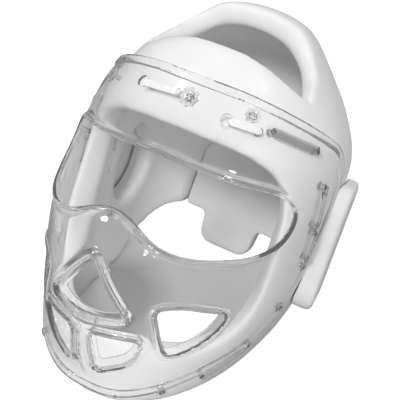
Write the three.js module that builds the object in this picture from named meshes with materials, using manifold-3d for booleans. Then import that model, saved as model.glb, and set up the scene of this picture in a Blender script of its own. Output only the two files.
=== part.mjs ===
// A karate head guard of dipped foam with a clear face mask over it.
// It is drawn as worn: +X to the wearer's left, -Y forwards, +Z up, the eyes at z = 0 and the
// ears at y = 0, in millimetres. The whole guard is then tilted back until the flat rim of its
// jaw lies on the floor, with the origin under the middle of its box.
import * as THREE from 'three';
import { mergeVertices } from 'three/addons/utils/BufferGeometryUtils.js';
import Module from 'manifold-3d';

const wasm = await Module();
wasm.setup();

// Driving sizes of the whole guard.
const GAP = 0.4;
const MIDDLE_Y = 10;
const FAR = 300;
const MASK_WALL = 2.4;
const MASK_STANDOFF = 0.7;
const MASK_HUG = 40;

// How finely the walls are faceted: around the shell, between two rows of its tables, and so on.
const FACETS = { around: 40, row: 2, maskAround: 36, mask: 17, face: 36, crown: 18, ear: 24 };

// The jaw's flat rim: a plane through the chin that rises to the lobe, then the cut up to the nape.
const RIM = { chinY: -112, chinZ: -152, rise: 0.302, lobeY: 32, backY: 52, backZ: -88, napeY: 84 };
const TILT = Math.atan(RIM.rise);

// Outside of the foam at each level: half width, front, back, and how square the section is.
const FOAM = [
  { z: -170, half: 60, front: -121, back: 94, power: 2.6 },
  { z: -125, half: 79, front: -115, back: 104, power: 2.6 },
  { z: -70, half: 94, front: -104, back: 112, power: 2.6 },
  { z: -10, half: 97.5, front: -96, back: 116, power: 2.5 },
  { z: 40, half: 97, front: -92, back: 116, power: 2.4 },
  { z: 80, half: 89, front: -83, back: 109, power: 2.3 },
  { z: 96, half: 80.5, front: -75, back: 102, power: 2.25 },
  { z: 110, half: 69.5, front: -64, back: 90, power: 2.2 },
  { z: 122, half: 56.5, front: -47, back: 73, power: 2.2 },
  { z: 131, half: 42, front: -26, back: 52, power: 2.15 },
  { z: 136, half: 21, front: -4, back: 30, power: 2.1 },
  { z: 137, half: 6, front: 6, back: 15, power: 2.1 },
];

// The hollow that the head fills, in the same columns.
const HOLLOW = [
  { z: -190, half: 58, front: -96, back: 78, power: 2.8 },
  { z: -125, half: 62, front: -98, back: 86, power: 2.9 },
  { z: -70, half: 73, front: -90, back: 91, power: 3.1 },
  { z: -10, half: 76, front: -84, back: 95, power: 3.2 },
  { z: 40, half: 76, front: -75, back: 95, power: 2.9 },
  { z: 80, half: 67, front: -64, back: 88, power: 2.5 },
  { z: 96, half: 57, front: -53, back: 79, power: 2.4 },
  { z: 108, half: 45, front: -37, back: 64, power: 2.3 },
  { z: 115, half: 32, front: -20, back: 46, power: 2.2 },
  { z: 118.5, half: 15, front: -3, back: 27, power: 2.1 },
  { z: 119, half: 5, front: 5, back: 15, power: 2.1 },
];

// The shell draws in above the temples and more so behind: the share of its width lost, and where
// that starts and ends.
const DRAW_IN = { share: 0.25, fromY: -200, toY: 40, fromZ: 40, toZ: 120 };

// The mask's own bulge, inner face: how far forward it stands at each level, and how blunt it is.
const MASK = [
  { z: -152, front: -111, power: 2.2 },
  { z: -140, front: -120, power: 2.1 },
  { z: -122, front: -134, power: 1.9 },
  { z: -92, front: -153, power: 1.8 },
  { z: -70, front: -160, power: 1.8 },
  { z: -45, front: -165, power: 1.85 },
  { z: -25, front: -162, power: 1.95 },
  { z: -8, front: -154, power: 2.1 },
  { z: 28, front: -116, power: 2.25 },
  { z: 42, front: -104, power: 2.3 },
  { z: 55, front: -96, power: 2.3 },
  { z: 81, front: -85, power: 2.3 },
];

// The face opening in the foam: a flared window, given at two distances forward.
const FACE_NEAR = { y: -30, half: 65.7, top: 36, bottom: -88 };
const FACE_FAR = { y: -130, half: 122.9, top: 46, bottom: -113 };
const FACE_POWER = 3.5;

// The crown opening is cut from a point in the head through a lens with two sharp corners.
const CROWN = {
  from: new THREE.Vector3(0, 10, 20),
  corner: new THREE.Vector3(76, -50, 91),
  front: { y: -68, z: 108, power: 2 },
  rear: { y: -12.5, z: 134, power: 8 },
  inside: 0.4,
  outside: 1.5,
};

// Ear holes, ear guards, and the rear pad with its nape tab.
const EAR_HOLE = { y: 20, z: -22, halfLength: 26, halfHeight: 34 };
const EAR_GUARD = {
  front: -2, back: 66, top: 29, bottom: -75, reach: 112, depth: 34, toe: 0.12, round: 14, bevel: 4, seat: 1,
};
const REAR = { half: 46, top: 6, bottom: -57, front: 60, round: 14, corner: 4, setBack: 5 };
const TAB = { halfTop: 27, halfBottom: 24, bottom: -84.7, round: 12, neck: 2 };

// Openings in the mask, seen from the front: x, z and how far each corner is rounded.
const EYE_HALF = [[0, 27.5, 0], [89, 24, 20], [88, -18, 20], [42, -25.5, 18]];
const NOSE_BUMP = { z: -2.5, cut: 21 };
const UPPER_VENT = [[0, -36, 4], [27, -74, 6], [0, -79.5, 16], [-27, -74, 6]];
const LOWER_VENT = [[6.5, -90, 6], [38, -89, 9], [30, -110, 8], [9, -124, 7]];
const CHEEK_VENT = [[40, -63, 6], [53, -58.5, 7], [75, -64, 8], [66, -90, 14], [48.5, -103, 7]];

// The mask's edge seen from the side: y, z and rounding, from the brow round to the chin.
const MASK_EDGE = [
  [-260, 81.5, 0], [-86, 81.5, 6], [-14, 58, 14], [-14, -14, 20], [-26, -56, 20],
  [-56, -97, 16], [-106, -135, 16], [-122, -149, 6], [-260, -149, 0],
];

// Fastenings sit on the mask by level and bearing: 0 degrees at the wearer's left, 90 in front.
const STUD = { headRadius: 4.5, headRise: 2.4, shankRadius: 1.9, depth: 9 };
const STUDS = [
  { name: 'centre', z: 66, bearing: 90, sides: 'middle', scale: 1.15 },
  { name: 'brow', z: 58, bearing: 48.8, sides: 'right', scale: 1 },
  { name: 'brow', z: 68.5, bearing: 64.5, sides: 'left', scale: 0.85 },
  { name: 'side', z: -31, bearing: 20.8, sides: 'both', scale: 0.9 },
  { name: 'cheek', z: -64, bearing: 27, sides: 'both', scale: 0.9 },
  { name: 'chin', z: -134, bearing: 66, sides: 'both', scale: 0.85 },
];
const STRIP = { width: 5.5, thickness: 1.6, steps: 6, legRadius: 1.8, depth: 9, hole: 2.4, through: 34 };
const TIES = [
  { name: 'brow', from: { z: 62, bearing: 56 }, to: { z: 56, bearing: 35 }, sides: 'left' },
  { name: 'temple', from: { z: 32, bearing: 26.8 }, to: { z: 2, bearing: 23.5 }, sides: 'both' },
  { name: 'side', from: { z: -4, bearing: 22 }, to: { z: -24, bearing: 21 }, sides: 'both' },
  { name: 'jaw', from: { z: -95, bearing: 36 }, to: { z: -120, bearing: 53.5 }, sides: 'both' },
];
const LACES = [
  { name: 'brow', from: { z: 60.5, bearing: 72 }, to: { z: 60, bearing: 61 }, sides: 'left' },
  { name: 'brow', from: { z: 64, bearing: 69.5 }, to: { z: 66.5, bearing: 84.5 }, sides: 'right' },
];

const finish = (color, roughness) => new THREE.MeshStandardMaterial({ color, roughness, metalness: 0 });
const dippedFoam = finish(0xf1f1ef, 0.42);
const clearShell = finish(0xdde3e6, 0.08);
const clearStud = finish(0xe6eaec, 0.12);
const whiteLace = finish(0xf4f4f2, 0.5);

// Value of one column of a table at level z, on a smooth curve through its rows.
function column(table, key, z) {
  const last = table.length - 1;
  const next = table.findIndex((row) => row.z > z);
  if (next === 0) return table[0][key];
  if (next < 0) return table[last][key];
  const slope = (i) => {
    const before = table[Math.max(i - 1, 0)];
    const after = table[Math.min(i + 1, last)];
    return (after[key] - before[key]) / (after.z - before.z);
  };
  const a = table[next - 1];
  const b = table[next];
  const span = b.z - a.z;
  const t = (z - a.z) / span;
  const bend = t * t * (3 - 2 * t);
  return a[key] + (b[key] - a[key]) * bend
    + span * t * (1 - t) * ((1 - t) * slope(next - 1) - t * slope(next));
}

// Distance from the upright middle line to a rounded section, at one bearing.
function radius(half, front, back, power, bearing) {
  const reach = Math.sin(bearing) >= 0 ? MIDDLE_Y - front : back - MIDDLE_Y;
  const across = Math.abs(Math.cos(bearing)) / half;
  const along = Math.abs(Math.sin(bearing)) / reach;
  return (across ** power + along ** power) ** (-1 / power);
}

function tableRadius(table, z, bearing) {
  const value = (key) => column(table, key, z);
  return radius(value('half'), value('front'), value('back'), value('power'), bearing);
}

const foamRadius = (z, bearing) => tableRadius(FOAM, z, bearing);
const hollowRadius = (z, bearing) => tableRadius(HOLLOW, z, bearing);

// The mask hugs the foam at its edge and bulges forward of it over the face.
function maskRadius(z, bearing) {
  const foam = foamRadius(z, bearing) + MASK_STANDOFF;
  const half = column(FOAM, 'half', z);
  const back = column(FOAM, 'back', z);
  const bulge = radius(half, column(MASK, 'front', z), back, column(MASK, 'power', z), bearing);
  return (foam ** MASK_HUG + bulge ** MASK_HUG) ** (1 / MASK_HUG);
}

function polar(z, bearing, r) {
  const { share, fromY, toY, fromZ, toZ } = DRAW_IN;
  const y = MIDDLE_Y - r * Math.sin(bearing);
  const { smoothstep } = THREE.MathUtils;
  const width = 1 - share * smoothstep(y, fromY, toY) * smoothstep(z, fromZ, toZ);
  return new THREE.Vector3(r * Math.cos(bearing) * width, y, z);
}

function levels(from, to, count) {
  return Array.from({ length: count + 1 }, (_, i) => from + ((to - from) * i) / count);
}

const span = (table, count, spare) => levels(table[0].z - spare, table.at(-1).z + spare, count);
const rowLevels = (table, steps) => table.flatMap(
  (row, i) => (i === 0 ? [row.z] : levels(table[i - 1].z, row.z, steps).slice(1)),
);
const fullTurn = (count) => levels(0, 2 * Math.PI, count).slice(0, -1);

// A closed mesh through rings of points, each ring running clockwise seen from the last one.
function skin(rings) {
  const sides = rings[0].length;
  const positions = rings.flat().flatMap((p) => p.toArray());
  const index = [];
  for (let i = 0; i + 1 < rings.length; i += 1) {
    for (let j = 0; j < sides; j += 1) {
      const k = (j + 1) % sides;
      const [a, b] = [i * sides + j, i * sides + k];
      index.push(a, a + sides, b, b, a + sides, b + sides);
    }
  }
  const close = (start, turned) => {
    const ring = rings[start / sides];
    const centre = ring.reduce((sum, p) => sum.add(p), new THREE.Vector3()).divideScalar(sides);
    positions.push(...centre.toArray());
    const hub = positions.length / 3 - 1;
    for (let j = 0; j < sides; j += 1) {
      const [a, b] = [start + j, start + ((j + 1) % sides)];
      index.push(hub, ...(turned ? [b, a] : [a, b]));
    }
  };
  close(0, false);
  close((rings.length - 1) * sides, true);
  const geometry = new THREE.BufferGeometry();
  geometry.setAttribute('position', new THREE.Float32BufferAttribute(positions, 3));
  geometry.setIndex(index);
  return geometry;
}

// A solid between two levels whose outline is given by distance at each bearing.
function polarLoft(heights, bearings, radiusAt) {
  return skin(heights.map((z) => bearings.map((b) => polar(z, b, radiusAt(z, b)))));
}

function solid(geometry) {
  const bare = geometry.clone();
  bare.deleteAttribute('normal');
  bare.deleteAttribute('uv');
  const merged = mergeVertices(bare, 1e-3);
  return new wasm.Manifold(new wasm.Mesh({
    numProp: 3,
    vertProperties: Float32Array.from(merged.attributes.position.array),
    triVerts: Uint32Array.from(merged.index.array),
  }));
}

function part(name, body, material) {
  const { vertProperties, triVerts } = body.getMesh();
  const geometry = new THREE.BufferGeometry();
  geometry.setAttribute('position', new THREE.BufferAttribute(vertProperties, 3));
  geometry.setIndex(new THREE.BufferAttribute(triVerts, 1));
  geometry.computeVertexNormals();
  const mesh = new THREE.Mesh(geometry, material);
  mesh.name = name;
  return mesh;
}

// An outline with each corner cut back and rounded.
function rounded(corners) {
  const shape = new THREE.Shape();
  corners.forEach(([u, v, cut], i) => {
    const corner = new THREE.Vector2(u, v);
    const towards = (j) => {
      const [nu, nv] = corners[(j + corners.length) % corners.length];
      return new THREE.Vector2(nu, nv).sub(corner).setLength(cut).add(corner);
    };
    const [enter, leave] = [towards(i - 1), towards(i + 1)];
    if (i === 0) shape.moveTo(enter.x, enter.y);
    else shape.lineTo(enter.x, enter.y);
    if (cut > 0) shape.quadraticCurveTo(u, v, leave.x, leave.y);
  });
  return shape;
}

const mirrored = (corners) => corners.map(([u, v, cut]) => [-u, v, cut]).reverse();

// Prisms with an outline seen from the front (x, z) or from the side (y, z).
function frontPrism(corners, fromY, toY, curveSegments = 6) {
  const prism = new THREE.ExtrudeGeometry(rounded(corners), {
    depth: toY - fromY, bevelEnabled: false, curveSegments,
  });
  return solid(prism.rotateX(Math.PI / 2).translate(0, toY, 0));
}

const SIDE_BASIS = new THREE.Matrix4().makeBasis(
  new THREE.Vector3(0, 1, 0), new THREE.Vector3(0, 0, 1), new THREE.Vector3(1, 0, 0),
);

function sidePrism(corners, fromX, toX, curveSegments = 6) {
  const prism = new THREE.ExtrudeGeometry(rounded(corners), {
    depth: toX - fromX, bevelEnabled: false, curveSegments,
  });
  return solid(prism.applyMatrix4(SIDE_BASIS).translate(fromX, 0, 0));
}

// Point and outward direction on the mask's outer face.
function onMask({ z, bearing }, side = 1) {
  const angle = THREE.MathUtils.degToRad(side > 0 ? bearing : 180 - bearing);
  const step = 0.5;
  const at = (dz, da) => polar(z + dz, angle + da, maskRadius(z + dz, angle + da) + MASK_WALL);
  const up = at(step, 0).sub(at(-step, 0));
  const round = at(0, step / 100).sub(at(0, -step / 100));
  return { point: at(0, 0), outward: up.cross(round).normalize() };
}

function pinAlong({ point, outward }, pinRadius, lowest, highest, sides = 12) {
  const pin = new THREE.CylinderGeometry(pinRadius, pinRadius, highest - lowest, sides);
  pin.translate(0, (lowest + highest) / 2, 0);
  pin.applyQuaternion(new THREE.Quaternion().setFromUnitVectors(new THREE.Vector3(0, 1, 0), outward));
  return solid(pin.translate(point.x, point.y, point.z));
}

// The foam shell before its openings for fastenings.
function foamBody() {
  const round = fullTurn(FACETS.around);
  const outside = solid(polarLoft(rowLevels(FOAM, FACETS.row), round, foamRadius));
  const hollow = solid(polarLoft(rowLevels(HOLLOW, FACETS.row), round, hollowRadius));

  const faceRing = ({ y, half, top, bottom }) => fullTurn(FACETS.face).map((t) => {
    const bow = (value) => Math.sign(value) * Math.abs(value) ** (2 / FACE_POWER);
    const middle = (top + bottom) / 2;
    return new THREE.Vector3(half * bow(Math.cos(t)), y, middle + ((top - bottom) / 2) * bow(Math.sin(t)));
  });
  const face = solid(skin([faceRing(FACE_FAR), faceRing(FACE_NEAR)]));

  const arc = ({ y, z, power }, t) => {
    const rise = 1 - Math.abs(t) ** power;
    const { corner } = CROWN;
    return new THREE.Vector3(
      corner.x * t, corner.y + (y - corner.y) * rise, corner.z + (z - corner.z) * rise,
    );
  };
  const lens = [
    ...levels(1, -1, FACETS.crown).slice(0, -1).map((t) => arc(CROWN.front, t)),
    ...levels(-1, 1, FACETS.crown).slice(0, -1).map((t) => arc(CROWN.rear, t)),
  ];
  const scaled = (k) => lens.map((p) => p.clone().sub(CROWN.from).multiplyScalar(k).add(CROWN.from));
  const crown = solid(skin([scaled(CROWN.inside), scaled(CROWN.outside)]));

  const rimZ = (y) => RIM.chinZ + RIM.rise * (y - RIM.chinY);
  const under = sidePrism([
    [-FAR, rimZ(-FAR), 0], [RIM.lobeY, rimZ(RIM.lobeY), 12], [RIM.backY, RIM.backZ, 6],
    [RIM.napeY, REAR.bottom, 10], [FAR, REAR.bottom, 0], [FAR, -FAR, 0], [-FAR, -FAR, 0],
  ], -FAR, FAR);

  const notch = frontPrism([
    [-REAR.half, -FAR, 0], [REAR.half, -FAR, 0], [REAR.half, REAR.top, REAR.round],
    [-REAR.half, REAR.top, REAR.round],
  ], REAR.front, FAR);

  const ear = new THREE.CylinderGeometry(1, 1, FAR, FACETS.ear).rotateZ(Math.PI / 2);
  ear.scale(1, EAR_HOLE.halfLength, EAR_HOLE.halfHeight).translate(0, EAR_HOLE.y, EAR_HOLE.z);

  return [hollow, face, crown, under, notch, solid(ear)].reduce((body, cut) => body.subtract(cut), outside);
}

// The pad between the shell's rear edges, curved with them, and the tab under it.
function rearPad() {
  const [half, tab] = [REAR.half - GAP, TAB];
  const outline = [
    [-half, REAR.top - GAP, REAR.round], [-half, REAR.bottom, REAR.corner],
    [-tab.halfTop, REAR.bottom, tab.neck], [-tab.halfBottom, tab.bottom, tab.round],
    [tab.halfBottom, tab.bottom, tab.round], [tab.halfTop, REAR.bottom, tab.neck],
    [half, REAR.bottom, REAR.corner], [half, REAR.top - GAP, REAR.round],
  ];
  const round = fullTurn(FACETS.around);
  const heights = levels(tab.bottom - tab.round, REAR.top + REAR.round, 8);
  const behind = solid(polarLoft(heights, round, foamRadius));
  const before = solid(polarLoft(heights, round, (z, b) => hollowRadius(z, b) + REAR.setBack));
  return frontPrism(outline, REAR.front, FAR).intersect(behind).subtract(before);
}

// A raised block outside one ear, its back toed in, cut to lie on the shell.
function earGuard(side) {
  const { front, back, top, bottom, reach, depth, toe, round, bevel, seat } = EAR_GUARD;
  const block = new THREE.ExtrudeGeometry(rounded([
    [bevel, bottom + bevel, round], [back - front - bevel, bottom + bevel, round],
    [back - front - bevel, top - bevel, round], [bevel, top - bevel, round],
  ]), { depth, bevelSize: bevel, bevelThickness: bevel, bevelSegments: 2, curveSegments: 4 });
  block.applyMatrix4(SIDE_BASIS).translate(-depth - bevel, 0, 0).rotateZ(toe).translate(reach, front, 0);
  const near = levels(-Math.PI / 2, Math.PI / 2, FACETS.around);
  const bearings = near.concat(levels(0.6 * Math.PI, 1.4 * Math.PI, 6));
  const heights = levels(bottom - depth, top + depth, 12);
  const shell = solid(polarLoft(heights, bearings, (z, b) => foamRadius(z, b) + seat));
  const body = solid(block).subtract(shell);
  return side > 0 ? body : body.mirror([1, 0, 0]);
}

// The clear mask: a thin hood cut to its edge and its openings.
function maskBody() {
  const front = levels(-0.12 * Math.PI, 1.12 * Math.PI, FACETS.maskAround);
  const bearings = front.concat(levels(1.2 * Math.PI, 1.8 * Math.PI, 5));
  const outerRadius = (z, b) => maskRadius(z, b) + MASK_WALL;
  const outer = solid(polarLoft(span(MASK, FACETS.mask, 8), bearings, outerRadius));
  const inner = solid(polarLoft(span(MASK, FACETS.mask, 13), bearings, maskRadius));
  const eye = [
    ...EYE_HALF.slice(1), [0, NOSE_BUMP.z, NOSE_BUMP.cut], ...mirrored(EYE_HALF.slice(1)), EYE_HALF[0],
  ];
  const openings = [eye, UPPER_VENT, LOWER_VENT, mirrored(LOWER_VENT), CHEEK_VENT, mirrored(CHEEK_VENT)];
  const edge = sidePrism(MASK_EDGE, -FAR, FAR);
  return openings.reduce(
    (body, corners) => body.subtract(frontPrism(corners, -FAR, FACE_NEAR.y)),
    outer.subtract(inner).intersect(edge),
  );
}

// One stud: a domed head over the mask and a shank into the foam.
function studBody(place, scale) {
  const { headRadius, headRise, shankRadius, depth } = STUD;
  const dome = levels(0, Math.PI / 2, 4).map((t) => new THREE.Vector2(
    Math.max(headRadius * scale * Math.cos(t), 0), GAP + headRise * scale * Math.sin(t),
  ));
  dome[dome.length - 1].x = 0;
  const profile = [
    new THREE.Vector2(0, -depth), new THREE.Vector2(shankRadius, -depth),
    new THREE.Vector2(shankRadius, GAP), ...dome,
  ];
  const stud = new THREE.LatheGeometry(profile, 14);
  const upright = new THREE.Vector3(0, 1, 0);
  stud.applyQuaternion(new THREE.Quaternion().setFromUnitVectors(upright, place.outward));
  return solid(stud.translate(place.point.x, place.point.y, place.point.z));
}

// One strip over the mask between two holes, with a leg down each hole.
function stripBody(from, to, side) {
  const { width, thickness, steps, legRadius, depth } = STRIP;
  const mix = (key, t) => from[key] + (to[key] - from[key]) * t;
  const places = levels(0, 1, steps)
    .map((t) => onMask({ z: mix('z', t), bearing: mix('bearing', t) }, side));
  const rings = places.map(({ point, outward }, i) => {
    const ahead = places[Math.min(i + 1, steps)].point.clone();
    const along = ahead.sub(places[Math.max(i - 1, 0)].point).normalize();
    const across = new THREE.Vector3().crossVectors(outward, along).normalize();
    const corner = (w, h) => point.clone().addScaledVector(across, w).addScaledVector(outward, h);
    const [low, high, half] = [GAP, GAP + thickness, width / 2];
    return [corner(-half, low), corner(-half, high), corner(half, high), corner(half, low)];
  });
  const legs = [places[0], places[steps]]
    .map((place) => pinAlong(place, legRadius, -depth, GAP + thickness / 2));
  return legs.reduce((body, leg) => body.add(leg), solid(skin(rings)));
}

// Every stud and strip with its name and side; the wearer's left is +X.
const SIDES = {
  left: [[1, '_left']], right: [[-1, '_right']], both: [[1, '_left'], [-1, '_right']], middle: [[1, '']],
};
const spread = (kind, rows) => rows.flatMap((row) => SIDES[row.sides]
  .map(([side, word]) => ({ ...row, side, name: `${kind}_${row.name}${word}` })));
const studs = spread('stud', STUDS).map((row) => ({ ...row, place: onMask(row, row.side) }));
const ties = spread('tie', TIES);
const laces = spread('lace', LACES);

// Holes for the shanks and legs; those of the temple and side ties go right through the foam.
const legHoles = ({ name, from, to, side }) => [from, to].map((end) => {
  const deep = /temple|side/.test(name) ? STRIP.through : STRIP.depth + 2;
  return pinAlong(onMask(end, side), STRIP.hole, -deep, 6, 10);
});
const holes = [
  ...studs.map(({ place }) => pinAlong(place, STRIP.hole, -STUD.depth - 2, 6, 10)),
  ...[...ties, ...laces].flatMap(legHoles),
];
const drilled = (body) => holes.reduce((left, hole) => left.subtract(hole), body);

const worn = new THREE.Group();
worn.add(part('head_shell', drilled(foamBody()), dippedFoam));
worn.add(part('rear_pad', rearPad(), dippedFoam));
worn.add(part('face_mask', drilled(maskBody()), clearShell));
SIDES.both.forEach(([side, word]) => worn.add(part(`ear_guard${word}`, earGuard(side), dippedFoam)));
studs.forEach(({ name, place, scale }) => worn.add(part(name, studBody(place, scale), clearStud)));
ties.forEach(({ name, from, to, side }) => worn.add(part(name, stripBody(from, to, side), clearStud)));
laces.forEach(({ name, from, to, side }) => worn.add(part(name, stripBody(from, to, side), whiteLace)));

// At rest: tilted back on to the jaw's rim, origin under the middle of the box.
const guard = new THREE.Group();
guard.add(worn);
worn.rotation.x = -TILT;
guard.updateMatrixWorld(true);
const box = new THREE.Box3().setFromObject(guard, true);
worn.position.set(0, -(box.min.y + box.max.y) / 2, -box.min.z);

export default guard;
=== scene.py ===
# A karate head guard of white dipped foam under a clear face mask, standing on its jaw's rim.
import math

import bmesh
import bpy
import numpy as np
from mathutils import Matrix, Vector
from mathutils.geometry import delaunay_2d_cdt
from mathutils.kdtree import KDTree


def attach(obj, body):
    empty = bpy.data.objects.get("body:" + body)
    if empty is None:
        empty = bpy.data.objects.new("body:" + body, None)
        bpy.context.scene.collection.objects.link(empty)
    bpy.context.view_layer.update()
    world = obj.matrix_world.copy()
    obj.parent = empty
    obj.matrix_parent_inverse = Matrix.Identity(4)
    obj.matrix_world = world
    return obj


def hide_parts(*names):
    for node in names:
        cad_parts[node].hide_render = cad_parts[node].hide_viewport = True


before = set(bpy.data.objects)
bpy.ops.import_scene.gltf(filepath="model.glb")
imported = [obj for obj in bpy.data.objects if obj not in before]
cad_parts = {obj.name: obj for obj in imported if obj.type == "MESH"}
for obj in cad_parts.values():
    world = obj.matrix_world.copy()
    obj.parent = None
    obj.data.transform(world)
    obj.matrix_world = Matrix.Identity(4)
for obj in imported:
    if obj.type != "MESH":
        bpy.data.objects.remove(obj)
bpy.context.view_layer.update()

# HEAD SHELL
# One soft piece: forehead band, crown dome with a rolled lip, cheeks and jaw. It is moulded of foam
# and dipped in white vinyl, which rounds each edge and leaves a faint orange peel.
# Its form is drawn as worn, in millimetres (eyes at z 0, ears at y 0), then tilted back to rest.
TILT = math.atan(0.302)
AT_REST = Matrix.Translation((0, 0.024278, 0.113130)) @ Matrix.Rotation(-TILT, 4, "X")
MIDDLE_Y = 10
LEVEL, HALF, FRONT, BACK, POWER = range(5)
FOAM = np.array([
    (-170, 60, -121, 94, 2.6), (-125, 79, -115, 104, 2.6), (-70, 94, -104, 112, 2.6),
    (-10, 97.5, -96, 116, 2.5), (40, 97, -92, 116, 2.4), (80, 89, -83, 109, 2.3),
    (96, 80.5, -75, 102, 2.25), (110, 69.5, -64, 90, 2.2), (122, 56.5, -47, 73, 2.2),
    (131, 42, -26, 52, 2.15), (136, 21, -4, 30, 2.1), (137, 6, 6, 15, 2.1),
])
HOLLOW = np.array([
    (-190, 58, -96, 78, 2.8), (-125, 62, -98, 86, 2.9), (-70, 73, -90, 91, 3.1),
    (-10, 76, -84, 95, 3.2), (40, 76, -75, 95, 2.9), (80, 67, -64, 88, 2.5),
    (96, 57, -53, 79, 2.4), (108, 45, -37, 64, 2.3), (115, 32, -20, 46, 2.2),
    (118.5, 15, -3, 27, 2.1), (119, 5, 5, 15, 2.1),
])
DRAW_IN = {"share": 0.25, "y": (-200, 40), "z": (40, 120)}


def column(table, key, z):
    """One column of a table at the levels z, on a smooth curve through its rows."""
    levels, values = table[:, LEVEL], table[:, key]
    last = len(levels) - 1
    before = np.maximum(np.arange(last + 1) - 1, 0)
    after = np.minimum(np.arange(last + 1) + 1, last)
    slope = (values[after] - values[before]) / (levels[after] - levels[before])
    z = np.clip(z, levels[0], levels[-1])
    i = np.clip(np.searchsorted(levels, z, side="right") - 1, 0, last - 1)
    span = levels[i + 1] - levels[i]
    t = (z - levels[i]) / span
    bend = t * t * (3 - 2 * t)
    pull = (1 - t) * slope[i] - t * slope[i + 1]
    return values[i] + (values[i + 1] - values[i]) * bend + span * t * (1 - t) * pull


def section(half, front, back, power, bearing):
    """Distance from the upright middle line to a rounded section, at one bearing."""
    reach = np.where(np.sin(bearing) >= 0, MIDDLE_Y - front, back - MIDDLE_Y)
    across = (np.abs(np.cos(bearing)) / half) ** power
    along = (np.abs(np.sin(bearing)) / reach) ** power
    return (across + along) ** (-1 / power)


def wall_radius(table, z, bearing):
    return section(*(column(table, key, z) for key in (HALF, FRONT, BACK, POWER)), bearing)


def ease(value, low, high):
    t = np.clip((value - low) / (high - low), 0, 1)
    return t * t * (3 - 2 * t)


def width_share(y, z):
    """The shell draws in behind the temples: the share of its width that is left."""
    return 1 - DRAW_IN["share"] * ease(y, *DRAW_IN["y"]) * ease(z, *DRAW_IN["z"])


def worn_point(z, bearing, radius):
    y = MIDDLE_Y - radius * np.sin(bearing)
    return np.stack([radius * np.cos(bearing) * width_share(y, z), y, z + 0 * bearing], -1)


def to_rest(points):
    turn = np.array(AT_REST.to_3x3())
    return (np.asarray(points) / 1000) @ turn.T + np.array(AT_REST.translation)


def to_worn(points):
    turn = np.array(AT_REST.to_3x3())
    return ((np.asarray(points) - np.array(AT_REST.translation)) @ turn) * 1000


def only(piece):
    """Makes a piece the only selected object and the active one."""
    bpy.ops.object.select_all(action="DESELECT")
    piece.select_set(True)
    bpy.context.view_layer.objects.active = piece


def finish_with(piece, kind, **settings):
    """Adds a modifier with its settings and applies it."""
    only(piece)
    modifier = piece.modifiers.new(kind.lower(), kind)
    for key, value in settings.items():
        setattr(modifier, key, value)
    bpy.ops.object.modifier_apply(modifier=modifier.name)


def points_of(piece):
    flat = np.empty(len(piece.data.vertices) * 3, np.float32)
    piece.data.vertices.foreach_get("co", flat)
    return flat.reshape(-1, 3).astype(float)


def set_points(piece, points):
    piece.data.vertices.foreach_set("co", np.asarray(points, np.float32).ravel())
    piece.data.update()


def copy_of(node, name):
    """A merged copy of a CAD node's mesh as a new piece."""
    piece = bpy.data.objects.new(name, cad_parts[node].data.copy())
    bpy.context.scene.collection.objects.link(piece)
    piece.data.materials.clear()
    only(piece)
    bpy.ops.object.mode_set(mode="EDIT")
    bpy.ops.mesh.select_all(action="SELECT")
    bpy.ops.mesh.remove_doubles(threshold=0.00002)
    bpy.ops.object.mode_set(mode="OBJECT")
    return piece


def nearest(points, others):
    """Distance of each point from the nearest of the others."""
    tree = KDTree(len(others))
    for i, other in enumerate(others):
        tree.insert(other, i)
    tree.balance()
    return np.array([tree.find(point)[2] for point in points])


def weigh(piece, name, weights, grades=50):
    """Writes one weight for each point into a vertex group, in even grades."""
    group = piece.vertex_groups.new(name=name)
    steps = np.round(np.asarray(weights) * grades).astype(int)
    for step in np.unique(steps):
        group.add(np.flatnonzero(steps == step).tolist(), float(step / grades), "REPLACE")


def remesh(piece, voxel):
    only(piece)
    piece.data.remesh_voxel_size = voxel
    bpy.ops.object.voxel_remesh()


# Where the mask's fastenings go through: level and bearing on the mask (0 left, 90 in front).
MASK_WALL = 2.4
MASK_STANDOFF = 0.7
MASK_HUG = 40
BULGE, BLUNT = 1, 2
MASK = np.array([
    (-152, -111, 2.2), (-140, -120, 2.1), (-122, -134, 1.9), (-92, -153, 1.8),
    (-70, -160, 1.8), (-45, -165, 1.85), (-25, -162, 1.95), (-8, -154, 2.1),
    (28, -116, 2.25), (42, -104, 2.3), (55, -96, 2.3), (81, -85, 2.3),
])
STUDS = {
    "stud_centre": (66, 90), "stud_brow_left": (68.5, 64.5), "stud_brow_right": (58, 131.2),
    "stud_side_left": (-31, 20.8), "stud_side_right": (-31, 159.2),
    "stud_cheek_left": (-64, 27), "stud_cheek_right": (-64, 153),
    "stud_chin_left": (-134, 66), "stud_chin_right": (-134, 114),
}
STRIPS = {
    "tie_brow_left": ((62, 56), (56, 35)),
    "tie_temple_left": ((32, 26.8), (2, 23.5)), "tie_temple_right": ((32, 153.2), (2, 156.5)),
    "tie_side_left": ((-4, 22), (-24, 21)), "tie_side_right": ((-4, 158), (-24, 159)),
    "tie_jaw_left": ((-95, 36), (-120, 53.5)), "tie_jaw_right": ((-95, 144), (-120, 126.5)),
    "lace_brow_left": ((60.5, 72), (60, 61)), "lace_brow_right": ((64, 110.5), (66.5, 95.5)),
}
HOLE_RADIUS, DEEP_HOLE, LACE_HOLE = 2.4, 3.1, 4.4
HOLE_DEPTH, DEEP_DEPTH = 11, 34
LACE_PULL = 1.6


def mask_radius(z, bearing):
    """The mask's inner face: it hugs the foam at its edge and bulges over the face."""
    foam = wall_radius(FOAM, z, bearing) + MASK_STANDOFF
    half, back = column(FOAM, HALF, z), column(FOAM, BACK, z)
    bulge = section(half, column(MASK, BULGE, z), back, column(MASK, BLUNT, z), bearing)
    return (foam ** MASK_HUG + bulge ** MASK_HUG) ** (1 / MASK_HUG)


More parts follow.
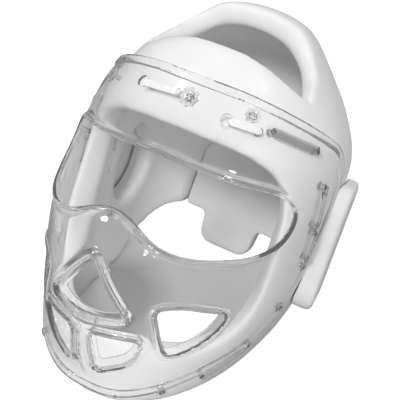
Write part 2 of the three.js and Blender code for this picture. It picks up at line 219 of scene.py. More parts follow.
def on_mask(z, bearing, height=MASK_WALL):
    """Point, outward normal and the two tangents of the mask, per radian and per millimetre."""
    z, bearing = np.asarray(z, float), np.asarray(bearing, float)
    step_z, step_b = 0.5, 0.005

    def at(level, angle):
        return worn_point(level, angle, mask_radius(level, angle) + height)

    up = (at(z + step_z, bearing) - at(z - step_z, bearing)) / (2 * step_z)
    round_ = (at(z, bearing + step_b) - at(z, bearing - step_b)) / (2 * step_b)
    normal = np.cross(up, round_)
    normal /= np.linalg.norm(normal, axis=-1, keepdims=True)
    return at(z, bearing), normal, round_, up


# A lace is pulled to one side of the wide hole that its first end comes out of.
fastening_places, fastening_axes = [], []
places = list(STUDS.items()) + [(name, end) for name, ends in STRIPS.items() for end in ends]
for name, (level, angle) in places:
    loose = name.startswith("lace") and (level, angle) == STRIPS[name][0]
    wide = LACE_HOLE if loose else HOLE_RADIUS
    angle = math.radians(angle + LACE_PULL * loose)
    spot, outward, _, _ = on_mask(level, angle)
    deep = name.startswith(("tie_temple", "tie_side"))
    depth = DEEP_DEPTH if deep else HOLE_DEPTH
    fastening_places.append((level, angle, wide))
    fastening_axes.append((spot, outward, depth, DEEP_HOLE if deep else wide))

# The CAD's own holes are closed before the remesh, which would leave them ragged.
PLUG = {"beside": HOLE_RADIUS + 0.1, "below": 5, "above": 3}
SHELL_VOXEL = 0.0024
shell = copy_of("head_shell", "dipped_shell")
worn = to_worn(points_of(shell))
in_hole = np.zeros(len(worn), bool)
for spot, outward, depth, _ in fastening_axes:
    along = (worn - spot) @ outward
    beside = np.linalg.norm(worn - spot - along[:, None] * outward, axis=1)
    in_hole |= (beside < PLUG["beside"]) & (along > -depth - PLUG["below"]) & (along < PLUG["above"])
bpy.ops.object.mode_set(mode="EDIT")
mesh = bmesh.from_edit_mesh(shell.data)
plugged = [face for face in mesh.faces if all(in_hole[v.index] for v in face.verts)]
bmesh.ops.delete(mesh, geom=plugged, context="FACES")
bmesh.update_edit_mesh(shell.data)
bpy.ops.mesh.select_all(action="SELECT")
bpy.ops.mesh.fill_holes(sides=0)
bpy.ops.object.mode_set(mode="OBJECT")
remesh(shell, SHELL_VOXEL)

# The facets are drawn on to the true curves of both walls, and the dip then rounds the edges.
NEAR, FAR_OFF = 0.9, 1.7
SLOPE_STEP = 0.1


def depth_in(table, worn):
    """How far points lie inside a wall, along the radius."""
    x = worn[:, 0] / width_share(worn[:, 1], worn[:, 2])
    y = MIDDLE_Y - worn[:, 1]
    return wall_radius(table, worn[:, 2], np.arctan2(y, x)) - np.hypot(x, y)


def way_to(table, worn):
    """The way from points to the nearest spot of a wall, by the wall's slope there."""
    steps = SLOPE_STEP * np.eye(3)
    slope = np.stack([depth_in(table, worn + step) - depth_in(table, worn - step) for step in steps], 1)
    slope /= 2 * SLOPE_STEP
    return -slope * (depth_in(table, worn) / (slope ** 2).sum(1))[:, None]


worn = to_worn(points_of(shell))
for table in (FOAM, HOLLOW):
    way = way_to(table, worn)
    inside_table = (worn[:, 2] > table[0, LEVEL]) & (worn[:, 2] < table[-1, LEVEL] - 1)
    worn += way * (inside_table * (1 - ease(np.linalg.norm(way, axis=1), NEAR, FAR_OFF)))[:, None]
set_points(shell, to_rest(worn))
finish_with(shell, "SMOOTH", factor=0.5, iterations=12)

# Cut edges and the dome's top are rounded further than the walls; the crown's two corners stay crisp.
CORNERS = [(-68, -44, 84), (68, -44, 84)]
ROUND_OVER, CORNER_REACH, DOME_TOP = (2, 11), (8, 26), (128, 135)
OFF_WALL = 1.5
worn = to_worn(points_of(shell))
off_wall = np.minimum(*(np.linalg.norm(way_to(table, worn), axis=1) for table in (FOAM, HOLLOW)))
cut = np.flatnonzero((off_wall > OFF_WALL) & (worn[:, 2] < DOME_TOP[1]))
soft = 1 - ease(nearest(worn, worn[cut]), *ROUND_OVER)
soft *= ease(nearest(worn, np.array(CORNERS)), *CORNER_REACH)
soft = np.maximum(soft, ease(worn[:, 2], *DOME_TOP))
weigh(shell, "rounded", soft)
finish_with(shell, "SMOOTH", factor=0.5, iterations=40, vertex_group="rounded")

# Lacing holes, punched after the dip.
PUNCH_ABOVE, PUNCH_SIDES = 6, 20
bpy.ops.object.select_all(action="DESELECT")
punches = []
for spot, outward, depth, wide in fastening_axes:
    low, high = to_rest([spot - outward * depth, spot + outward * PUNCH_ABOVE])
    bpy.ops.mesh.primitive_cylinder_add(
        vertices=PUNCH_SIDES, radius=wide / 1000, depth=float(np.linalg.norm(high - low)),
        location=(low + high) / 2,
        rotation=Vector(high - low).to_track_quat("Z", "Y").to_euler(),
    )
    punches.append(bpy.context.object)
for punch in punches:
    punch.select_set(True)
bpy.context.view_layer.objects.active = punches[0]
bpy.ops.object.join()
punch = bpy.context.object
finish_with(shell, "BOOLEAN", operation="DIFFERENCE", solver="EXACT", object=punch)
bpy.data.objects.remove(punch)
only(shell)
bpy.ops.object.shade_smooth_by_angle(angle=math.radians(50))


class Finish:
    """A node material built step by step; each call adds one node and returns its output."""

    def __init__(self, name):
        self.material = bpy.data.materials.new(name)
        self.material.use_nodes = True
        self.nodes = self.material.node_tree.nodes
        self.links = self.material.node_tree.links
        self.shader = self.nodes["Principled BSDF"]
        self.place = self.nodes.new("ShaderNodeTexCoord").outputs["Object"]

    def set(self, **sockets):
        for key, value in sockets.items():
            self.shader.inputs[key.replace("_", " ")].default_value = value

    def feed(self, source, socket):
        self.links.new(source, self.shader.inputs[socket])

    def noise(self, scale, detail, roughness=0.55):
        node = self.nodes.new("ShaderNodeTexNoise")
        node.inputs["Scale"].default_value = scale
        node.inputs["Detail"].default_value = detail
        node.inputs["Roughness"].default_value = roughness
        self.links.new(self.place, node.inputs["Vector"])
        return node.outputs["Fac"]

    def span(self, source, low, high, start=0.3, end=0.7):
        node = self.nodes.new("ShaderNodeMapRange")
        for key, value in zip(("From Min", "From Max", "To Min", "To Max"), (start, end, low, high)):
            node.inputs[key].default_value = value
        self.links.new(source, node.inputs["Value"])
        return node.outputs["Result"]

    def tint(self, source, dark, light, start=0.35, end=0.65):
        node = self.nodes.new("ShaderNodeValToRGB")
        node.color_ramp.elements[0].position, node.color_ramp.elements[1].position = start, end
        node.color_ramp.elements[0].color, node.color_ramp.elements[1].color = (*dark, 1), (*light, 1)
        self.links.new(source, node.inputs["Fac"])
        return node.outputs["Color"]

    def relief(self, *layers):
        """Bump layers of (source, height in metres), one laid over the other."""
        below = None
        for source, height in layers:
            node = self.nodes.new("ShaderNodeBump")
            node.inputs["Strength"].default_value = 1
            node.inputs["Distance"].default_value = height
            self.links.new(source, node.inputs["Height"])
            if below:
                self.links.new(below, node.inputs["Normal"])
            below = node.outputs["Normal"]
        self.feed(below, "Normal")


dipped = Finish("dipped_white_vinyl")
dipped.set(IOR=1.46, Coat_Weight=0.18, Coat_Roughness=0.22)
dipped.feed(dipped.tint(dipped.noise(14, 4), (0.79, 0.79, 0.785), (0.85, 0.85, 0.845)), "Base Color")
dipped.feed(dipped.span(dipped.noise(38, 3), 0.36, 0.47), "Roughness")
dipped.relief((dipped.noise(70, 2), 0.00035), (dipped.noise(650, 2), 0.00005))


def dress_foam(piece, node):
    piece.data.materials.append(dipped.material)
    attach(piece, "root")
    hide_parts(node)


dress_foam(shell, "head_shell")

# REAR PAD
# A separate slab of the same dipped foam that closes the back between the shell's two edges, with
# a tab below it for the nape. It is bent to the shell's curve and held by the fit.
PAD_VOXEL = 0.0018
rear_pad = copy_of("rear_pad", "rear_foam_pad")
remesh(rear_pad, PAD_VOXEL)
finish_with(rear_pad, "SMOOTH", factor=0.5, iterations=16)
only(rear_pad)
bpy.ops.object.shade_smooth()
dress_foam(rear_pad, "rear_pad")

# EAR GUARDS
# A block of dipped foam over each ear hole, flat outside with softly rounded edges, its inner face
# cut to the shell's curve and glued on.
EAR_VOXEL = 0.0018
for side in ("left", "right"):
    ear_guard = copy_of(f"ear_guard_{side}", f"ear_block_{side}")
    remesh(ear_guard, EAR_VOXEL)
    finish_with(ear_guard, "SMOOTH", factor=0.5, iterations=14)
    only(ear_guard)
    bpy.ops.object.shade_smooth()
    dress_foam(ear_guard, f"ear_guard_{side}")

# FACE MASK
# One clear polycarbonate moulding, 2.4 mm thick, that hugs the foam at its edge and bulges over nose
# and mouth. Its edge is a thick flange, the eye opening is beaded, and the vents have raised frames
# whose walls turn in to deep collars.
EYE = [
    (89, 24, 20), (88, -18, 20), (42, -25.5, 18), (0, -2.5, 21),
    (-42, -25.5, 18), (-88, -18, 20), (-89, 24, 20), (0, 27.5, 0),
]
NOSE_VENT = [(0, -36, 4), (27, -74, 6), (0, -79.5, 16), (-27, -74, 6)]
MOUTH_VENT = [(6.5, -90, 6), (38, -89, 9), (30, -110, 8), (9, -124, 7)]
CHEEK_VENT = [(40, -63, 6), (53, -58.5, 7), (75, -64, 8), (66, -90, 14), (48.5, -103, 7)]
EDGE = [
    (-260, 81.5, 0), (-86, 81.5, 6), (-14, 58, 14), (-14, -14, 20), (-26, -56, 20),
    (-56, -97, 16), (-106, -135, 16), (-122, -149, 6), (-260, -149, 0),
]
# Profiles across a rim: distance from the outline, then rise or thickness of the wall there.
EDGE_RISE = [(0, 0.4), (0.9, 0.8), (4.8, 0.8), (5.8, 0)]
EYE_RISE = [(0, 0), (0.6, 0.7), (1.6, 1.1), (2.8, 0.8), (4, 0.3), (5.2, 0)]
VENT_RISE = [
    (0, 0), (0.5, 0.8), (1.2, 1.4), (2.2, 1.75), (3.2, 1.6), (4.4, 1.05), (5.6, 0.45), (7, 0),
]
CHEEK_RISE = [(0, 0), (0.6, 0.5), (1.4, 0.85), (2.6, 0.75), (4, 0.3), (5.5, 0)]
EDGE_WALL = [(0, 2.8), (0.9, 4), (4.8, 4), (5.8, MASK_WALL)]
EYE_WALL = [(0, 2.8), (1.2, 3.6), (2.4, 3.5), (3.8, 2.9), (5.2, MASK_WALL)]
VENT_WALL = [(0, MASK_WALL), (1.2, 3.5), (2.2, 4), (3.4, 3.6), (5.2, MASK_WALL)]
THICKEST = 4
COLLAR = (1.2, 2.8, 4.8, 6)
RING_STEPS = (0.7, 1.5, 2.5, 3.6, 4.7, 6)
EDGE_STEPS = (0.5, 1, 2.2, 3.6, 4.7, 5.2, 5.7, 6.3)
HOLE_STEPS = (1.2,)
SPACING, ROW_SPACING = 1.9, 1.653
KEEP_OFF = {"border": 0.05, "ring": 0.45, "inside": 1.178}
FINE, EDGE_FINE, RIM_FINE = 0.5, 0.15, 0.4
LINE_STEPS = 900
LEVELS, PAST_SIDE = (-150, 83), 0.3
UNROLL = 130
MIDDLE = MASK_WALL / 2


def rounded(corners):
    """Points along an outline with each corner cut back and rounded."""
    points = []
    count = len(corners)
    for i, (u, v, cut) in enumerate(corners):
        corner = np.array((u, v), float)
        ways = [np.array(corners[j % count][:2], float) - corner for j in (i - 1, i + 1)]
        enter, leave = (corner + way / np.linalg.norm(way) * cut for way in ways)
        for t in np.linspace(0, 1, 12 if cut else 1):
            points.append((1 - t) ** 2 * enter + 2 * t * (1 - t) * corner + t * t * leave)
    return np.array(points)


def evenly(rows, along, spacing, closed=True):
    """Resamples the rows of a line at even steps along its own points."""
    if closed:
        rows, along = np.vstack([rows, rows[:1]]), np.vstack([along, along[:1]])
    walked = np.concatenate([[0], np.cumsum(np.linalg.norm(np.diff(along, axis=0), axis=1))])
    stops = np.linspace(0, walked[-1], max(int(round(walked[-1] / spacing)), 8) + 1)
    if closed:
        stops = stops[:-1]
    return np.stack([np.interp(stops, walked, rows[:, k]) for k in range(rows.shape[1])], 1)


def where(goal, value, low, high):
    """Where a falling function reaches its goal, by halving."""
    low, high = np.full(goal.shape, low, float), np.full(goal.shape, high, float)
    for _ in range(48):
        middle = (low + high) / 2
        above = value(middle) > goal
        low, high = np.where(above, middle, low), np.where(above, high, middle)
    return (low + high) / 2


def mask_spot(rows):
    """Points of the mask's middle face at rows of level and bearing."""
    return worn_point(rows[:, 0], rows[:, 1], mask_radius(rows[:, 0], rows[:, 1]) + MIDDLE)


def front_outline(corners):
    """An opening drawn from the front, as rows of level and bearing on the mask."""
    flat = rounded(corners)
    x, z = evenly(flat, flat, FINE).T
    bearing = where(x, lambda b: mask_spot(np.stack([z, b], 1))[:, 0], 0.02, math.pi - 0.02)
    rows = np.stack([z, bearing], 1)
    return evenly(rows, mask_spot(rows), SPACING)


def edge_outline():
    """The mask's own edge from the brow round the left side to the chin, and back on the right."""
    flat = rounded(EDGE)[1:-1]
    y, z = evenly(flat, flat, EDGE_FINE, closed=False).T
    reached = mask_spot(np.stack([z, np.full(z.shape, math.pi / 2)], 1))[:, 1] < y - 0.02
    y, z = y[reached], z[reached]
    bearing = where(y, lambda b: mask_spot(np.stack([z, b], 1))[:, 1], -0.4, math.pi / 2)
    rows = np.stack([z, bearing], 1)
    rows[0, 1] = rows[-1, 1] = math.pi / 2
    left = evenly(rows, mask_spot(rows), SPACING, closed=False)
    right = left[1:-1][::-1].copy()
    right[:, 1] = math.pi - right[:, 1]
    return np.vstack([left, right])


def step_over_mask(rows, ways, distance):
    """Moves rows along directions that lie in the mask."""
    _, _, round_, up = on_mask(rows[:, 0], rows[:, 1], MIDDLE)
    rr, uu, ru = (round_ * round_).sum(1), (up * up).sum(1), (round_ * up).sum(1)
    a, b = (round_ * ways).sum(1), (up * ways).sum(1)
    moved = rows.copy()
    moved[:, 1] += distance * (a * uu - b * ru) / (rr * uu - ru * ru)
    moved[:, 0] += distance * (b * rr - a * ru) / (rr * uu - ru * ru)
    return moved


def unrolled(rows):
    return np.stack([rows[:, 1] * UNROLL, rows[:, 0]], 1)


def area(loop):
    turned = np.roll(loop, -1, 0)
    return abs((loop[:, 0] * turned[:, 1] - loop[:, 1] * turned[:, 0]).sum()) / 2


def away_from(rows, outside):
    """Directions in the mask square to an outline: out from an opening, or in from the mask's edge."""
    spots, normal, _, _ = on_mask(rows[:, 0], rows[:, 1], MIDDLE)
    ways = np.cross(np.roll(spots, -1, 0) - np.roll(spots, 1, 0), normal)
    ways /= np.linalg.norm(ways, axis=1, keepdims=True)
    grows = area(unrolled(step_over_mask(rows, ways, 0.5))) > area(unrolled(rows))
    return ways if grows == outside else -ways


def punched(z, bearing, hole_radius, count=14):
    """A small round hole on the mask."""
    row = np.array([(z, bearing)], float)
    _, normal, round_, _ = on_mask(row[:, 0], row[:, 1], MIDDLE)
    first = round_[0] / np.linalg.norm(round_[0])
    second = np.cross(normal[0], first)
    turns = np.linspace(0, 2 * math.pi, count, endpoint=False)
    ways = np.cos(turns)[:, None] * first + np.sin(turns)[:, None] * second
    return step_over_mask(np.repeat(row, count, 0), ways, hole_radius)


def mirrored(corners):
    return [(-u, v, cut) for u, v, cut in corners][::-1]


def inside(points, loop):
    """Which points lie inside a closed outline."""
    found = np.zeros(len(points), bool)
    for (ax, ay), (bx, by) in zip(loop, np.roll(loop, -1, 0)):
        if ay != by:
            crosses = (ay > points[:, 1]) != (by > points[:, 1])
            found ^= crosses & (points[:, 0] < ax + (points[:, 1] - ay) * (bx - ax) / (by - ay))
    return found


edge, eye = edge_outline(), front_outline(EYE)
vents = [front_outline(vent) for vent in (NOSE_VENT, MOUTH_VENT, mirrored(MOUTH_VENT))]
cheeks = [front_outline(vent) for vent in (CHEEK_VENT, mirrored(CHEEK_VENT))]
holes = [punched(z, b, r) for z, b, r in fastening_places]
openings = [eye] + vents + cheeks + holes


def in_mask(rows):
    flat = unrolled(rows)
    kept = inside(flat, unrolled(edge))
    for opening in openings:
        kept &= ~inside(flat, unrolled(opening))
    return kept


class Scatter:
    """Points that keep their distance: a new one stays only if it is clear of all before it."""

    def __init__(self):
        self.rows, self.cells = [], {}

    def add(self, rows, clear):
        for row, spot in zip(rows, mask_spot(rows)):
            home = tuple(int(v // SPACING) for v in spot)
            around = [(home[0] + i, home[1] + j, home[2] + k)
                      for i in (-1, 0, 1) for j in (-1, 0, 1) for k in (-1, 0, 1)]
            others = [other for cell in around for other in self.cells.get(cell, ())]
            if all(math.dist(spot, other) > clear for other in others):
                self.cells.setdefault(home, []).append(tuple(spot))
                self.rows.append(row)


scatter = Scatter()
borders, loops = [], []
for outline in [edge] + openings:
    first = len(scatter.rows)
    scatter.add(outline, KEEP_OFF["border"])
    count = len(scatter.rows) - first
    loops.append(range(first, first + count))
    borders += [(first + i, first + (i + 1) % count) for i in range(count)]
for number, outline in enumerate([edge] + openings):
    ways = away_from(outline, number > 0)
    steps = HOLE_STEPS if number > len(openings) - len(holes) else RING_STEPS
    for distance in steps if number else EDGE_STEPS:
        ring = step_over_mask(outline, ways, distance)
        scatter.add(ring[in_mask(ring)], KEEP_OFF["ring"])
line = np.stack([np.linspace(*LEVELS, LINE_STEPS), np.full(LINE_STEPS, math.pi / 2)], 1)
turns = np.linspace(-PAST_SIDE, math.pi + PAST_SIDE, LINE_STEPS)
for number, (level, _) in enumerate(evenly(line, mask_spot(line), ROW_SPACING, closed=False)):
    row = np.stack([np.full(LINE_STEPS, level), turns], 1)
    row = evenly(row, mask_spot(row), SPACING, closed=False)
    if number % 2:
        row = (row[1:] + row[:-1]) / 2
    scatter.add(row[in_mask(row)], KEEP_OFF["inside"])

flat = [Vector(p) for p in unrolled(np.array(scatter.rows))]
flat, _, triangles, sources, _, _ = delaunay_2d_cdt(flat, borders, [], 0, 1e-7)
flat = np.array([tuple(p) for p in flat])
rows = np.stack([flat[:, 1], flat[:, 0] / UNROLL], 1)
triangles = np.array([t for t in triangles if len(t) == 3])
triangles = triangles[in_mask(rows[triangles].mean(1))]
place_of = {source: i for i, merged in enumerate(sources) for source in merged}

# The keel between the two lower vents, and the rims.
KEEL = {"rise": 1.3, "half": 3.4, "top": -84, "bottom": -140, "fade": 16}
spots, normals, _, _ = on_mask(rows[:, 0], rows[:, 1], MIDDLE)
rise = np.exp(-(spots[:, 0] / KEEL["half"]) ** 2) * KEEL["rise"]
rise *= ease(rows[:, 0], KEEL["bottom"], KEEL["bottom"] + KEEL["fade"])
rise *= 1 - ease(rows[:, 0], KEEL["top"] - KEEL["fade"] / 2, KEEL["top"])
wall = np.full(len(rows), float(MASK_WALL))
profiles = [(edge, EDGE_RISE, EDGE_WALL), (eye, EYE_RISE, EYE_WALL)]
profiles += [(vent, VENT_RISE, VENT_WALL) for vent in vents]
profiles += [(vent, CHEEK_RISE, VENT_WALL) for vent in cheeks]
for outline, rises, walls in profiles:
    away = nearest(spots, evenly(mask_spot(outline), mask_spot(outline), RIM_FINE))
    rise = np.maximum(rise, np.interp(away, *np.array(rises).T))
    wall = np.maximum(wall, np.interp(away, *np.array(walls).T))
outside = spots + normals * rise[:, None]

points, faces = [outside], [tuple(int(i) for i in t) for t in triangles]
total = len(outside)
for loop in loops[2:2 + len(vents) + len(cheeks)]:
    ring = [place_of[i] for i in loop]
    count, lip = len(ring), ring
    for depth in COLLAR:
        points.append(outside[ring] - normals[ring] * depth)
        deeper = list(range(total, total + count))
        after = [(i + 1) % count for i in range(count)]
        faces += [(lip[i], lip[j], deeper[j], deeper[i]) for i, j in enumerate(after)]
        total, lip = total + count, deeper
wall = np.concatenate([wall, np.full(total - len(wall), float(MASK_WALL))])
mask_mesh = bpy.data.meshes.new("clear_mask")
mask_mesh.from_pydata(to_rest(np.vstack(points)).tolist(), [], faces)
clear = Finish("clear_polycarbonate")
clear.set(Base_Color=(0.985, 0.99, 0.99, 1), Transmission_Weight=0.965, IOR=1.57)
clear.feed(clear.span(clear.noise(60, 3), 0.01, 0.04), "Roughness")
clear.relief((clear.noise(28, 2), 0.0003))
# Trimmed edges show the wall lengthwise, which greys them a little; their grey base is darkened past
# that as painted shade, standing in for the dark lines that refraction and shadow draw along cut edges.
shaded_trim = Finish("shaded_trim_polycarbonate")
shaded_trim.set(Base_Color=(0.66, 0.67, 0.68, 1), Transmission_Weight=0.85, IOR=1.57)
shaded_trim.feed(shaded_trim.span(shaded_trim.noise(300, 2), 0.08, 0.2), "Roughness")
mask_mesh.materials.append(clear.material)
mask_mesh.materials.append(shaded_trim.material)
mask = bpy.data.objects.new("clear_mask", mask_mesh)
bpy.context.scene.collection.objects.link(mask)
weigh(mask, "wall", wall / THICKEST)
only(mask)
bpy.ops.object.mode_set(mode="EDIT")
bpy.ops.mesh.select_all(action="SELECT")
bpy.ops.mesh.delete_loose()
bpy.ops.mesh.select_all(action="SELECT")
bpy.ops.mesh.normals_make_consistent(inside=False)
bpy.ops.object.mode_set(mode="OBJECT")
if sum(face.normal.y < 0 for face in mask_mesh.polygons) < len(mask_mesh.polygons) / 2:
    bpy.ops.object.mode_set(mode="EDIT")
    bpy.ops.mesh.flip_normals()
    bpy.ops.object.mode_set(mode="OBJECT")
finish_with(mask, "SOLIDIFY", thickness=THICKEST / 1000, offset=0, vertex_group="wall",
            use_even_offset=True, use_quality_normals=True, material_offset_rim=1)
finish_with(mask, "BEVEL", width=0.0004, segments=2,
            limit_method="ANGLE", angle_limit=math.radians(55))
only(mask)
bpy.ops.object.shade_smooth_by_angle(angle=math.radians(50))


def dress_clear(piece, node):
    """Finishes a clear piece; all but the thick ties let the lamps through, as thin plastic does."""
    piece.visible_diffuse = False
    piece.visible_shadow = node.startswith("tie")
    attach(piece, "root")
    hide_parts(node)


dress_clear(mask, "face_mask")

# STUDS
# Clear push-in studs that hold the mask's edge to the foam: a scalloped flange like a small rosette,
# a knob on it, and a shank through mask and foam. One is drawn first, and all nine are its copies.
GAP = 0.4
STUD = {
    "flange": 4.5, "knob": 2.9, "rise": 2.4, "plate": 0.9, "cone": 0.2, "ledge": 0.4,
    "dome": 0.5, "shoulder": 0.5, "cap": 1, "shank": 1.9, "depth": 9,
}
SHANK_TOP = GAP - 0.1
PETALS, SCALLOP = 8, 0.09
SMALL_STUD, LARGE_STUDS = 0.88, {"stud_centre": 1.5, "stud_brow_right": 1.25, "stud_brow_left": 1.2}
fastening = Finish("clear_fastening")
fastening.set(Base_Color=(0.87, 0.88, 0.885, 1), Transmission_Weight=0.95, IOR=1.54)
fastening.feed(fastening.span(fastening.noise(300, 2), 0.03, 0.1), "Roughness")
fastening.relief((fastening.noise(500, 2), 0.00005))


def facing(piece, way):
    """Selects, in edit mode, the faces that look along Z one way or the other."""
    bpy.ops.mesh.select_all(action="DESELECT")
    mesh = bmesh.from_edit_mesh(piece.data)
    for face in mesh.faces:
        face.select = face.normal.z * way > 0.9
    bmesh.update_edit_mesh(piece.data)


bpy.ops.object.select_all(action="DESELECT")
bpy.ops.mesh.primitive_cylinder_add(vertices=6 * PETALS, radius=STUD["flange"], depth=STUD["plate"])
first_stud = bpy.context.object
bpy.ops.object.mode_set(mode="EDIT")
bpy.ops.mesh.select_mode(type="FACE")
facing(first_stud, 1)
bpy.ops.mesh.inset(thickness=STUD["flange"] - STUD["knob"] - STUD["ledge"])
bpy.ops.transform.translate(value=(0, 0, STUD["cone"]))
bpy.ops.mesh.inset(thickness=STUD["ledge"])
knob_height = STUD["rise"] - STUD["plate"] - STUD["cone"] - STUD["dome"]
bpy.ops.mesh.extrude_region_move(TRANSFORM_OT_translate={"value": (0, 0, knob_height)})
bpy.ops.mesh.inset(thickness=STUD["shoulder"])
bpy.ops.transform.translate(value=(0, 0, STUD["dome"] * 0.7))
bpy.ops.mesh.inset(thickness=STUD["cap"])
bpy.ops.transform.translate(value=(0, 0, STUD["dome"] * 0.3))
facing(first_stud, -1)
bpy.ops.mesh.inset(thickness=STUD["flange"] - STUD["shank"])
bpy.ops.mesh.extrude_region_move(TRANSFORM_OT_translate={"value": (0, 0, -STUD["depth"] - GAP)})
bpy.ops.object.mode_set(mode="OBJECT")
shape = points_of(first_stud)
shape[:, 2] += GAP + STUD["plate"] / 2
flower = SCALLOP * ease(np.hypot(shape[:, 0], shape[:, 1]), STUD["shank"], STUD["knob"])
shape[:, :2] *= (1 + flower * np.cos(PETALS * np.arctan2(shape[:, 1], shape[:, 0])))[:, None]
set_points(first_stud, shape)
finish_with(first_stud, "BEVEL", width=0.15, segments=2,
            limit_method="ANGLE", angle_limit=math.radians(50))
only(first_stud)
bpy.ops.object.shade_smooth_by_angle(angle=math.radians(35))
shape = points_of(first_stud)

for name, (level, angle) in STUDS.items():
    stud = bpy.data.objects.new("clear_" + name, first_stud.data.copy())
    bpy.context.scene.collection.objects.link(stud)
    spot, outward, _, up = on_mask(level, math.radians(angle))
    across = np.cross(up, outward)
    across /= np.linalg.norm(across)
    turn = np.stack([across, np.cross(outward, across), outward], 1)
    in_hole = shape[:, 2:] < SHANK_TOP
    wide = np.where(in_hole, 1, LARGE_STUDS.get(name, SMALL_STUD))
    set_points(stud, to_rest((shape * wide) @ turn.T + spot))
    stud.data.materials.append(fastening.material)
    dress_clear(stud, name)
bpy.data.objects.remove(first_stud)

# TIES AND LACES
# Flat strips over the mask's edge whose ends go down through mask and foam: clear plastic ones round
# the edge, and two of white lace on the brow.
lace = Finish("white_lace")
lace.set(Sheen_Weight=0.2, Sheen_Roughness=0.5)
lace.feed(lace.tint(lace.noise(220, 3), (0.78, 0.78, 0.775), (0.88, 0.88, 0.875)), "Base Color")
lace.feed(lace.span(lace.noise(400, 2), 0.5, 0.65), "Roughness")
lace.relief((lace.noise(900, 2), 0.00012))
PLUMP, DRAWN_THIN = 0.00035, -0.0003
TIE_ROUND, LACE_ROUND = 0.0011, 0.0005
for name in STRIPS:
    soft = name.startswith("lace")
    strip = copy_of(name, ("soft_" if soft else "clear_") + name)
    bpy.ops.object.mode_set(mode="EDIT")
    bpy.ops.mesh.select_all(action="SELECT")
    bpy.ops.transform.shrink_fatten(value=DRAWN_THIN if soft else PLUMP)
    bpy.ops.object.mode_set(mode="OBJECT")
    finish_with(strip, "BEVEL", width=LACE_ROUND if soft else TIE_ROUND, segments=4,
                limit_method="ANGLE", angle_limit=math.radians(40))
    only(strip)
    bpy.ops.object.shade_smooth_by_angle(angle=math.radians(50))
    if soft:
        strip.data.materials.append(lace.material)
        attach(strip, "root")
        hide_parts(name)
    else:
        strip.data.materials.append(fastening.material)
        dress_clear(strip, name)

# FLOOR AND LIGHT
# A plain table under studio lamps: a round key lamp and three small ones that leave compact glints on
# the clear plastic, and soft fills from above, in front, both sides and behind. A white glow over the
# table, which lights nothing, lifts it to the paper white of a product shot; inside the jaw it is dimmed
# to a painted shade.
bpy.ops.object.select_all(action="DESELECT")
TABLE_WIDTH = 8
bpy.ops.mesh.primitive_plane_add(size=TABLE_WIDTH)
floor = bpy.context.object
floor.name = "floor"
table_top = Finish("pale_floor")
table_top.set(Roughness=0.9, Specular_IOR_Level=0.1)
tone = table_top.tint(table_top.noise(3, 2), (0.31, 0.31, 0.31), (0.33, 0.33, 0.33))
table_top.feed(tone, "Base Color")
floor.data.materials.append(table_top.material)
# Inside the jaw the glow dims to a painted shade that stands in for the floor's shadow there: middle and
# half widths of that shade, then, as seen through the mask and as seen directly, where it fades from and
# to, in half widths, and the glow in it and beyond it.
GLOW_HEIGHT = 0.0002
SHADE_MIDDLE, SHADE_HALVES = (-0.045, -0.032, 0), (0.03, 0.038, 1)
THROUGH_MASK, DIRECT = (1, 1.9, 0, 0.22), (0.9, 1.15, 0.2, 0.9)
bpy.ops.mesh.primitive_plane_add(size=TABLE_WIDTH, location=(0, 0, GLOW_HEIGHT))
glow = bpy.context.object
glow.name = "floor_glow"
glow_sheet = bpy.data.materials.new("white_glow")
glow_sheet.use_nodes = True
tree = glow_sheet.node_tree
tree.nodes.clear()
output = tree.nodes.new("ShaderNodeOutputMaterial")
added = tree.nodes.new("ShaderNodeAddShader")
through = tree.nodes.new("ShaderNodeBsdfTransparent")
light = tree.nodes.new("ShaderNodeEmission")
shade_place = tree.nodes.new("ShaderNodeMapping")
shade_place.vector_type = "TEXTURE"
shade_place.inputs["Location"].default_value = SHADE_MIDDLE
shade_place.inputs["Scale"].default_value = SHADE_HALVES
shade_reach = tree.nodes.new("ShaderNodeVectorMath")
shade_reach.operation = "LENGTH"
tree.links.new(tree.nodes.new("ShaderNodeTexCoord").outputs["Object"], shade_place.inputs["Vector"])
tree.links.new(shade_place.outputs["Vector"], shade_reach.inputs[0])
seen = tree.nodes.new("ShaderNodeMix")
tree.links.new(tree.nodes.new("ShaderNodeLightPath").outputs["Is Camera Ray"], seen.inputs[0])
for socket, glow_span in ((2, THROUGH_MASK), (3, DIRECT)):
    shade = tree.nodes.new("ShaderNodeMapRange")
    for key, value in zip(("From Min", "From Max", "To Min", "To Max"), glow_span):
        shade.inputs[key].default_value = value
    tree.links.new(shade_reach.outputs["Value"], shade.inputs["Value"])
    tree.links.new(shade.outputs["Result"], seen.inputs[socket])
tree.links.new(seen.outputs[0], light.inputs["Strength"])
tree.links.new(through.outputs[0], added.inputs[0])
tree.links.new(light.outputs[0], added.inputs[1])
tree.links.new(added.outputs[0], output.inputs["Surface"])
glow.data.materials.append(glow_sheet)
for ray in ("diffuse", "glossy", "shadow", "volume_scatter"):
    setattr(glow, "visible_" + ray, False)

AIM = Vector((0, 0, 0.12))
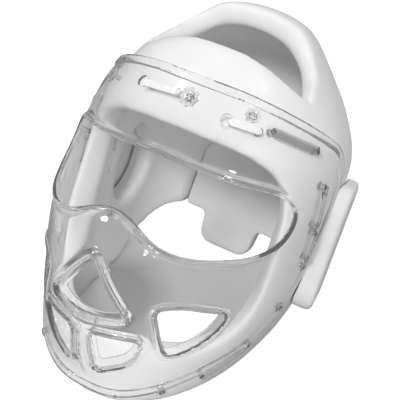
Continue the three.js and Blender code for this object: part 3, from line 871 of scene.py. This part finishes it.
# Each lamp: degrees to the wearer's left of straight ahead, degrees up, metres off, metres wide, watts.
LAMPS = {
    "key": (-38, 40, 1.8, 0.28, 4.5),
    "low_right": (36, 14, 1.7, 0.18, 1.4),
    "low_right_second": (46, 10, 1.7, 0.15, 1),
    "band_glint": (75, 63, 1.8, 0.2, 3),
    "overhead": (50, 68, 1.9, 1.3, 4.5),
    "front": (4, 39, 1.9, 0.35, 17),
    "side": (62, 20, 1.9, 1.0, 6),
    "far_side": (-95, 30, 1.9, 1.0, 7),
    "behind": (160, 30, 1.9, 1.0, 12),
}
FILLS = ("overhead", "front", "side", "far_side", "behind")
GLINTS = ("band_glint",)
for name, (turn, lift, distance, wide, power) in LAMPS.items():
    turn, lift = math.radians(turn), math.radians(lift)
    way = Vector((math.sin(turn) * math.cos(lift), -math.cos(turn) * math.cos(lift), math.sin(lift)))
    lamp = bpy.data.lights.new(name, "AREA")
    lamp.shape = "DISK"
    lamp.energy = power
    lamp.size = wide
    holder = bpy.data.objects.new(name, lamp)
    holder.location = AIM + way * distance
    holder.rotation_euler = way.to_track_quat("Z", "Y").to_euler()
    holder.visible_glossy = holder.visible_transmission = name not in FILLS
    holder.visible_diffuse = name not in GLINTS
    bpy.context.scene.collection.objects.link(holder)

# The room is dim where it is reflected and white where it is looked at.
ROOM_LIGHT = 0.22
world = bpy.data.worlds.new("studio_room")
bpy.context.scene.world = world
world.use_nodes = True
tree = world.node_tree
room = tree.nodes["Background"]
room.inputs["Color"].default_value = (1, 1, 1, 1)
room.inputs["Strength"].default_value = ROOM_LIGHT
paper = tree.nodes.new("ShaderNodeBackground")
paper.inputs["Color"].default_value = (1, 1, 1, 1)
looked_at = tree.nodes.new("ShaderNodeLightPath")
mixed = tree.nodes.new("ShaderNodeMixShader")
tree.links.new(looked_at.outputs["Is Camera Ray"], mixed.inputs["Fac"])
tree.links.new(room.outputs[0], mixed.inputs[1])
tree.links.new(paper.outputs[0], mixed.inputs[2])
tree.links.new(mixed.outputs[0], tree.nodes["World Output"].inputs["Surface"])
bpy.context.scene.view_settings.view_transform = "Standard"

# CAMERA
# At the photograph's angle: from the front left of the wearer and above, turned a little about its axis.
camera = bpy.data.objects.new("camera", bpy.data.cameras.new("camera"))
EYE_POINT = (0.2061, -0.5214, 0.4338)
right = Vector((0.8732, 0.4538, 0.1781))
up = Vector((-0.3702, 0.3794, 0.8480))
back = right.cross(up).normalized()
up = back.cross(right).normalized()
turned = Matrix((right.normalized(), up, back)).transposed().to_4x4()
camera.matrix_world = Matrix.Translation(EYE_POINT) @ turned
camera.data.lens = 75.32
camera.data.sensor_width = 36
camera.data.shift_x = 0.0057
camera.data.shift_y = -0.029
bpy.context.scene.collection.objects.link(camera)
bpy.context.scene.camera = camera
